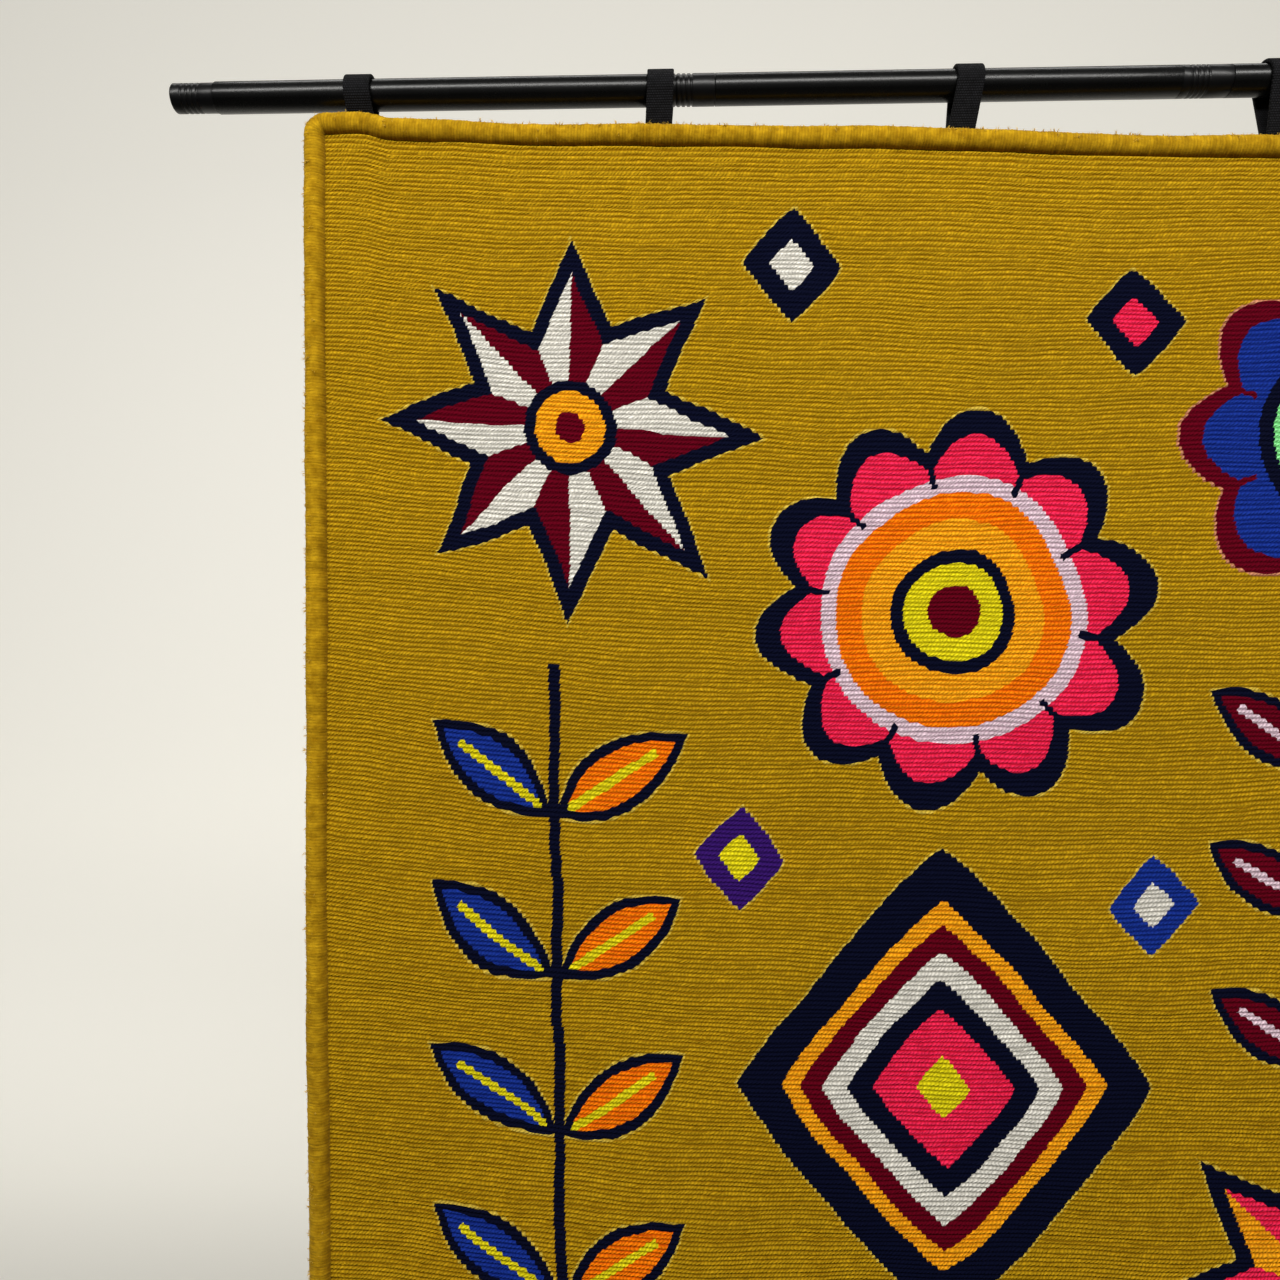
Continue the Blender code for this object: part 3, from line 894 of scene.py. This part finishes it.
def makeFuzzWool():
    wool = Finish("looseWool", Sheen_Weight=0.6, **fuzzyWool)
    mottle = wool.noise(wool.objectPlace(), 300.0, 2.0, 0.6)
    # The loose fibres are painted paler than the edge's wool: partly their own lighter look, partly a painted
    # highlight for the light they catch along the edge's outline. The mottle is random tone.
    wool.feed("Base Color", wool.blend(mottle, tone(190, 142, 28), tone(230, 190, 84)))
    return wool.material


edgePiece = makeEdge(edge, makeEdgeWool())
fuzzPiece = makeFuzz(edge, makeFuzzWool())
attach(fuzzPiece, "root")
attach(edgePiece, "root")
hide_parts("whipped_edge")
print("edge whipped:", len(edgePiece.data.polygons), "faces")


# the hanging loops

loops = {
    "pitch": 0.286,
    "first": 0.050,
    "width": 0.025,
    "thickness": 0.0036,
    "plyGap": 0.0004,
    "toEdge": 0.0006,
    "toCloth": 0.0005,
    "drops": (0.075, 0.058, 0.040, 0.022, 0.018, 0.013, 0.008, 0.003, -0.005),
    "bend": (0.022, 0.006),
    "rodGap": 0.0003,
    "weftPitch": 0.0021,
    "warpPitch": 0.0023,
    "linesPerWeft": 3,
    "weftRelief": 0.00016,
    "corner": 0.0011,
    "seamHalf": 0.0092,  # the sewn box, from the band's middle and below the edge's centre line
    "seamTop": 0.026,
    "seamFoot": 0.071,
    "stitchPitch": 0.0032,
    "threadThick": 0.0004,
    "tubes": (1, 2, 2, 3, 3),  # the rod tube under each loop
    # how far each loop stands aside on the rod and at the tapestry
    "shifts": [(0.0, 0.0016), (0.0, -0.0030), (0.0006, -0.0066), (-0.0008, 0.0024), (0.0004, -0.0014)],
}

rodRadius = 0.014


# One ply from its sewn end up to behind the whipped edge, as rows of y and z.
def tailLine(x, edgeZ, ply, setup):
    thickness = setup["thickness"]
    behindCloth = cloth["halfThickness"] + setup["toCloth"] + thickness / 2
    behindEdge = outline["edgeRadius"] + setup["toEdge"] + thickness / 2
    drops = np.array(setup["drops"])
    low, high = setup["bend"]
    t = np.clip((low - drops) / (low - high), 0.0, 1.0)
    offset = behindCloth + (behindEdge - behindCloth) * t * t * (3 - 2 * t)
    offset = offset + ply * (thickness + setup["plyGap"])
    z = edgeZ - drops
    return np.stack([sway(np.full_like(z, x), z) + offset, z], axis=1)


# Angle from straight up where a line from a point below first touches a circle round the rod's axis.
def touchAngle(y, z, radius, side):
    return math.pi - math.atan2(-y * side, -z) - math.acos(radius / math.hypot(y, z))


# Up the front ply, over the rod and down the back ply.
def loopLine(x, edgeZ, setup):
    radius = rodRadius + setup["rodGap"] + setup["thickness"] / 2
    front = tailLine(x, edgeZ, 0, setup)
    back = tailLine(x, edgeZ, 1, setup)
    start = touchAngle(*front[-1], radius, 1)
    end = touchAngle(*back[-1], radius, -1)
    angle = np.linspace(start, -end, 48)
    over = np.stack([-radius * np.sin(angle), radius * np.cos(angle)], axis=1)
    line = np.concatenate([front, over, back[::-1]])
    walked = np.append(0.0, np.cumsum(np.linalg.norm(np.diff(line, axis=0), axis=1)))
    count = int(round(walked[-1] / setup["weftPitch"])) * setup["linesPerWeft"] + 1
    at = np.linspace(0.0, walked[-1], count)
    return np.stack([np.interp(at, walked, line[:, n]) for n in (0, 1)], axis=1), walked[-1]


# A band carried along its line: the section is a flat rectangle with round corners, pulled in a little
# between the rows of weft.
def makeLoop(number, setup, finish):
    rodShift, seamShift = setup["shifts"][number - 1]
    placeX = leftSide + setup["first"] + (number - 1) * setup["pitch"]
    seamX = placeX + seamShift
    edgeZ = float(topZ(np.array([seamX]))[0])
    line, length = loopLine(seamX, edgeZ, setup)
    lean = np.clip(line[:, 1] / edgeZ, 0.0, 1.0)
    middle = placeX + rodShift + (seamShift - rodShift) * lean

    heading = np.gradient(line, axis=0)
    heading /= np.linalg.norm(heading, axis=1)[:, None]
    outward = np.stack([-heading[:, 1], heading[:, 0]], axis=1)  # away from the rod

    halfWidth, halfThick, corner = setup["width"] / 2, setup["thickness"] / 2, setup["corner"]
    flatX = np.linspace(-halfWidth + corner, halfWidth - corner, 9)
    turn = np.radians([67.5, 45.0, 22.5, 0.0, -22.5, -45.0, -67.5])
    sideX = halfWidth - corner + corner * np.cos(turn)
    sideT = (halfThick - corner) * np.sign(np.sin(turn)).round() + corner * np.sin(turn)
    section = np.concatenate(
        [
            np.stack([flatX, np.full(9, halfThick)], axis=1),
            np.stack([sideX, sideT], axis=1),
            np.stack([flatX[::-1], np.full(9, -halfThick)], axis=1),
            np.stack([-sideX[::-1], sideT[::-1]], axis=1),
        ]
    )
    step = np.arange(len(line))
    pull = np.where(step % setup["linesPerWeft"] == 0, setup["weftRelief"], 0.0)[:, None]
    acrossX, acrossT = section[None, :, 0], section[None, :, 1]
    alongX = acrossX - np.sign(acrossX) * pull * (np.abs(acrossX) > halfWidth - corner)
    alongT = acrossT - np.sign(acrossT) * pull
    x = middle[:, None] + alongX
    y = line[:, :1] + outward[:, :1] * alongT
    z = line[:, 1:] + outward[:, 1:] * alongT
    points = np.stack([x, y, z], axis=2)

    rows, columns = points.shape[:2]
    faces = gridFaces(rows, columns, closeColumns=True)
    endFace = np.arange(columns)
    faces = faces.tolist() + [endFace[::-1].tolist(), (endFace + (rows - 1) * columns).tolist()]
    along = np.broadcast_to((step / setup["linesPerWeft"])[:, None], x.shape)
    places = np.stack([np.broadcast_to(section[:, 0], x.shape), along, np.zeros_like(x)], axis=2)
    piece = buildPiece(f"hangingLoop{number}", points, faces, finish, "bandPlace", places)
    return piece, length


# Thread on the wall side of each sewn tail, a box with a cross in it: every stitch is a spindle with a
# square middle between two points of its line.
def makeStitches(setup, finish):
    plies = setup["toCloth"] + 2 * setup["thickness"] + setup["plyGap"]
    half, high, low = setup["seamHalf"], setup["seamTop"], setup["seamFoot"]
    corners = [(-half, high), (half, high), (half, low), (-half, low)]
    seams = [(0, 1), (1, 2), (2, 3), (3, 0), (0, 2), (1, 3)]
    starts, ends = [], []
    for number, shifts in enumerate(setup["shifts"]):
        seamX = leftSide + setup["first"] + number * setup["pitch"] + shifts[1]
        edgeZ = float(topZ(np.array([seamX]))[0])
        for a, b in seams:
            begin, finishAt = np.array(corners[a]), np.array(corners[b])
            count = int(np.linalg.norm(finishAt - begin) / setup["stitchPitch"])
            share = np.arange(count)[:, None] / count
            step = (finishAt - begin) / count
            for points, offset in ((starts, 0.12), (ends, 0.88)):
                spot = begin + (finishAt - begin) * share + step * offset
                x, z = seamX + spot[:, 0], edgeZ - spot[:, 1]
                y = sway(np.full_like(z, seamX), z) + cloth["halfThickness"] + plies
                points.append(np.stack([x, y, z], axis=1))
    start, end = np.concatenate(starts), np.concatenate(ends)
    run = end - start
    aside = np.cross(run, [0.0, 1.0, 0.0])
    aside /= np.linalg.norm(aside, axis=1)[:, None]
    thick = setup["threadThick"]
    rings = [start]
    for share in (0.22, 0.78):
        for side, out in ((1, 0), (0, 1), (-1, 0), (0, -1)):
            rings.append(start + run * share + aside * side * thick + np.array([0.0, out * thick, 0.0]))
    points = np.stack([*rings, end], axis=1)
    first = 10 * np.arange(len(start))[:, None]
    faces = []
    for n in range(4):
        after = (n + 1) % 4
        faces += (first + [[0, 1 + after, 1 + n]]).tolist()
        faces += (first + [[1 + n, 1 + after, 5 + after, 5 + n]]).tolist()
        faces += (first + [[5 + n, 5 + after, 9]]).tolist()
    return buildPiece("tailStitches", points, faces, finish)


def makeWebbing():
    band = Finish("blackWebbing", Roughness=0.80, Specular_IOR_Level=0.10)
    across, weft = band.place("bandPlace")[:2]
    warp = abs((across * (math.pi / loops["warpPitch"]) + math.floor(weft) * (math.pi / 2)).sine())
    # Painted highlight where warp crosses over weft and painted shade between the crossings; the wear noise
    # is random tone.
    crest = ((weft % 1.0) * math.pi).sine()
    wear = band.noise(band.objectPlace(), 260.0, 3.0, 0.6)
    light = (0.16 + 1.20 * warp * crest) * (0.5 + 0.9 * wear)
    band.feed("Base Color", band.scaleColour(band.blend(wear, tone(10, 10, 11), tone(32, 32, 35)), light))
    band.feed("Normal", band.bump(warp * crest, 0.0005, 0.8))
    return band.material


webbing = makeWebbing()
for number, tube in enumerate(loops["tubes"], start=1):
    piece, length = makeLoop(number, loops, webbing)
    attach(piece, "root")
    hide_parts(f"hanging_loop_{number}")
thread = Finish("blackThread", Roughness=0.6, Specular_IOR_Level=0.3, Base_Color=(*tone(46, 46, 50), 1.0))
stitchPiece = makeStitches(loops, thread.material)
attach(stitchPiece, "root")


# the rod

rod = {
    "end": 0.7524,
    "wall": 0.0015,
    "sides": 96,
    "stubLength": 0.0417,
    "stubRadius": 0.0131,
    "sectionPitch": 0.4756,
    "collarLength": 0.0459,
    "collarRadius": 0.01395,
    "plugLength": 0.012,
    "spigotLength": 0.025,
    "grooves": 4,
    "grooveWidth": 0.0024,
    "grooveDepth": 0.0011,
    "stubGrooves": (0.0107, 0.0053),
    "collarGrooves": (0.0093, 0.0048),
    "soften": 0.00035,
    "cut": 0.00025,  # taken off each corner of a fitting
    "gap": 0.0003,
}


# A turned piece: rows of distance along the rod and radius, carried once round its axis. A row with no
# radius is a pole.
def turnPiece(name, profile, startX, finish, closed=False):
    profile = np.array(profile, float)
    sides = rod["sides"]
    angle = 2 * math.pi * np.arange(sides) / sides
    ends = [] if closed else [profile[0], profile[-1]]
    rows = profile if closed else profile[1:-1]
    x = np.broadcast_to(startX + rows[:, :1], (len(rows), sides))
    points = np.stack([x, rows[:, 1:] * np.cos(angle), rows[:, 1:] * np.sin(angle)], axis=2).reshape(-1, 3)
    faces = gridFaces(len(rows), sides, closeRows=closed, closeColumns=True).tolist()
    if len(ends):
        poles = np.array([[startX + end[0], 0.0, 0.0] for end in ends])
        first, last = len(points), len(points) + 1
        lastRow = (len(rows) - 1) * sides
        faces += [[first, (n + 1) % sides, n] for n in range(sides)]
        faces += [[last, lastRow + n, lastRow + (n + 1) % sides] for n in range(sides)]
        points = np.concatenate([points, poles])
    piece = buildPiece(name, points, faces, finish)
    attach(piece, "root")
    return piece


# Softly rounded corners: each corner is cut at a short distance before and after it.
def softCorners(profile):
    points = np.array(profile, float)
    kept = [points[0]]
    for before, corner, after in zip(points[:-2], points[1:-1], points[2:]):
        for other in (before, after):
            gap = np.linalg.norm(other - corner)
            kept.append(corner + (other - corner) * min(rod["cut"] / gap, 0.4))
    kept.append(points[-1])
    return np.array(kept)


def grooveRows(radius, first, pitch):
    rows = []
    for number in range(rod["grooves"]):
        place = first + pitch * number
        half, depth = rod["grooveWidth"] / 2, rod["grooveDepth"]
        rows += [(place - half, radius), (place - half * 0.45, radius - depth * 0.85)]
        rows += [(place, radius - depth)]
        rows += [(place + half * 0.45, radius - depth * 0.85), (place + half, radius)]
    return rows


def makeRod(paint, fitting):
    spigot = rodRadius - rod["wall"] - rod["gap"]
    firstTube = rod["stubLength"] - rod["end"]
    reach = rod["spigotLength"]
    made = []

    length, radius = rod["stubLength"], rod["stubRadius"]
    stub = [(0.0, 0.0), (0.0, radius - 0.0012), (0.0012, radius)]
    stub += grooveRows(radius, *rod["stubGrooves"])
    stub += [(length - 0.0012, radius), (length - 0.0003, rodRadius - 0.0003), (length, rodRadius - 0.0006)]
    stub += [(length, spigot), (length + reach, spigot), (length + reach, 0.0)]
    made.append((turnPiece("endStub", softCorners(stub), -rod["end"], fitting), "end_stub"))

    for number in (1, 2):
        length, radius = rod["collarLength"], rod["collarRadius"]
        start = firstTube + number * rod["sectionPitch"] - length
        collar = [(-reach, 0.0), (-reach, spigot), (0.0, spigot), (0.0, radius - 0.0004), (0.0004, radius)]
        collar += grooveRows(radius, *rod["collarGrooves"])
        collar += [(length - 0.0004, radius), (length, radius - 0.0004)]
        collar += [(length, spigot), (length + reach, spigot), (length + reach, 0.0)]
        piece = turnPiece(f"jointCollar{number}", softCorners(collar), start, fitting)
        made.append((piece, f"joint_collar_{number}"))

    for number in (1, 2, 3):
        start = firstTube + (number - 1) * rod["sectionPitch"]
        end = start + rod["sectionPitch"] - rod["collarLength"]
        if number == 3:
            end = rod["end"] - rod["plugLength"]
        length, near, inner, soft = end - start, rod["gap"], rodRadius - rod["wall"], rod["soften"]
        tube = [(near, rodRadius - soft), (near + soft * 0.3, rodRadius - soft * 0.3)]
        tube += [(near + soft, rodRadius), (length - soft, rodRadius)]
        tube += [(length - soft * 0.3, rodRadius - soft * 0.3)]
        tube += [(length, rodRadius - soft), (length, inner), (near, inner)]
        made.append((turnPiece(f"rodTube{number}", tube, start, paint, closed=True), f"rod_tube_{number}"))

    length = rod["plugLength"]
    plug = [(-reach, 0.0), (-reach, spigot), (0.0, spigot), (0.0, rodRadius - 0.0003), (0.0003, rodRadius)]
    plug += [(length - 0.0009, rodRadius), (length, rodRadius - 0.0009), (length, 0.0)]
    made.append((turnPiece("endPlug", softCorners(plug), rod["end"] - length, fitting), "end_plug"))

    for piece, node in made:
        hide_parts(node)
    return made


def makePaint(name, colour, rough):
    paint = Finish(name, Specular_IOR_Level=0.30)
    spot = paint.objectPlace()
    orangePeel = paint.noise(spot, 420.0, 2.0, 0.5)
    dust = paint.noise(spot, 1400.0, 2.0, 0.6)
    smear = paint.noise(spot, 30.0, 3.0, 0.6)
    paint.feed("Base Color", paint.blend((dust - 0.66) * 1.5, colour, tone(40, 40, 38)))
    paint.feed("Roughness", rough + (smear - 0.5) * 0.10 + (dust - 0.5) * 0.06)
    paint.feed("Normal", paint.bump(orangePeel, 0.00012, 0.35))
    return paint.material


tubePaint = makePaint("satinBlackPaint", tone(3, 3, 3), 0.27)
rodPieces = makeRod(tubePaint, makePaint("blackFitting", tone(5, 5, 6), 0.33))
print("rod turned:", len(rodPieces), "pieces")


# floor and wall

# A floor that bends up into a wall, as one sheet of paper does: a straight run, a quarter circle and
# a straight run.
def makeSweep(setup):
    bend = setup["sweep"]
    angle = np.linspace(0.0, math.pi / 2, 25)
    arcY = setup["wall"] - bend + bend * np.sin(angle)
    arcZ = setup["floor"] + bend - bend * np.cos(angle)
    y = np.concatenate([[setup["front"]], arcY, [setup["wall"]]])
    z = np.concatenate([[setup["floor"]], arcZ, [setup["top"]]])
    x = np.array([-setup["side"], setup["side"]])
    points = np.stack(np.broadcast_arrays(x[None, :], y[:, None], z[:, None]), axis=2)
    paper = Finish("palePaper", Roughness=0.9, Specular_IOR_Level=0.1, Emission_Strength=1.0)
    away = paper.parts(paper.objectPlace())[1]
    sockets = {0: away, 1: -0.2, 2: setup["wall"] - 0.1}
    share = paper.add("ShaderNodeMapRange", {"interpolation_type": "SMOOTHSTEP"}, sockets)
    paper.feed("Emission Color", paper.blend(share, (0.0, 0.0, 0.0), setup["glow"]))
    paper.feed("Base Color", paper.blend(share, setup["nearPaint"], setup["paint"]))
    return buildPiece("paleSweep", points, gridFaces(len(y), 2).tolist(), paper.material)


makeSweep(studio)
print("floor laid")
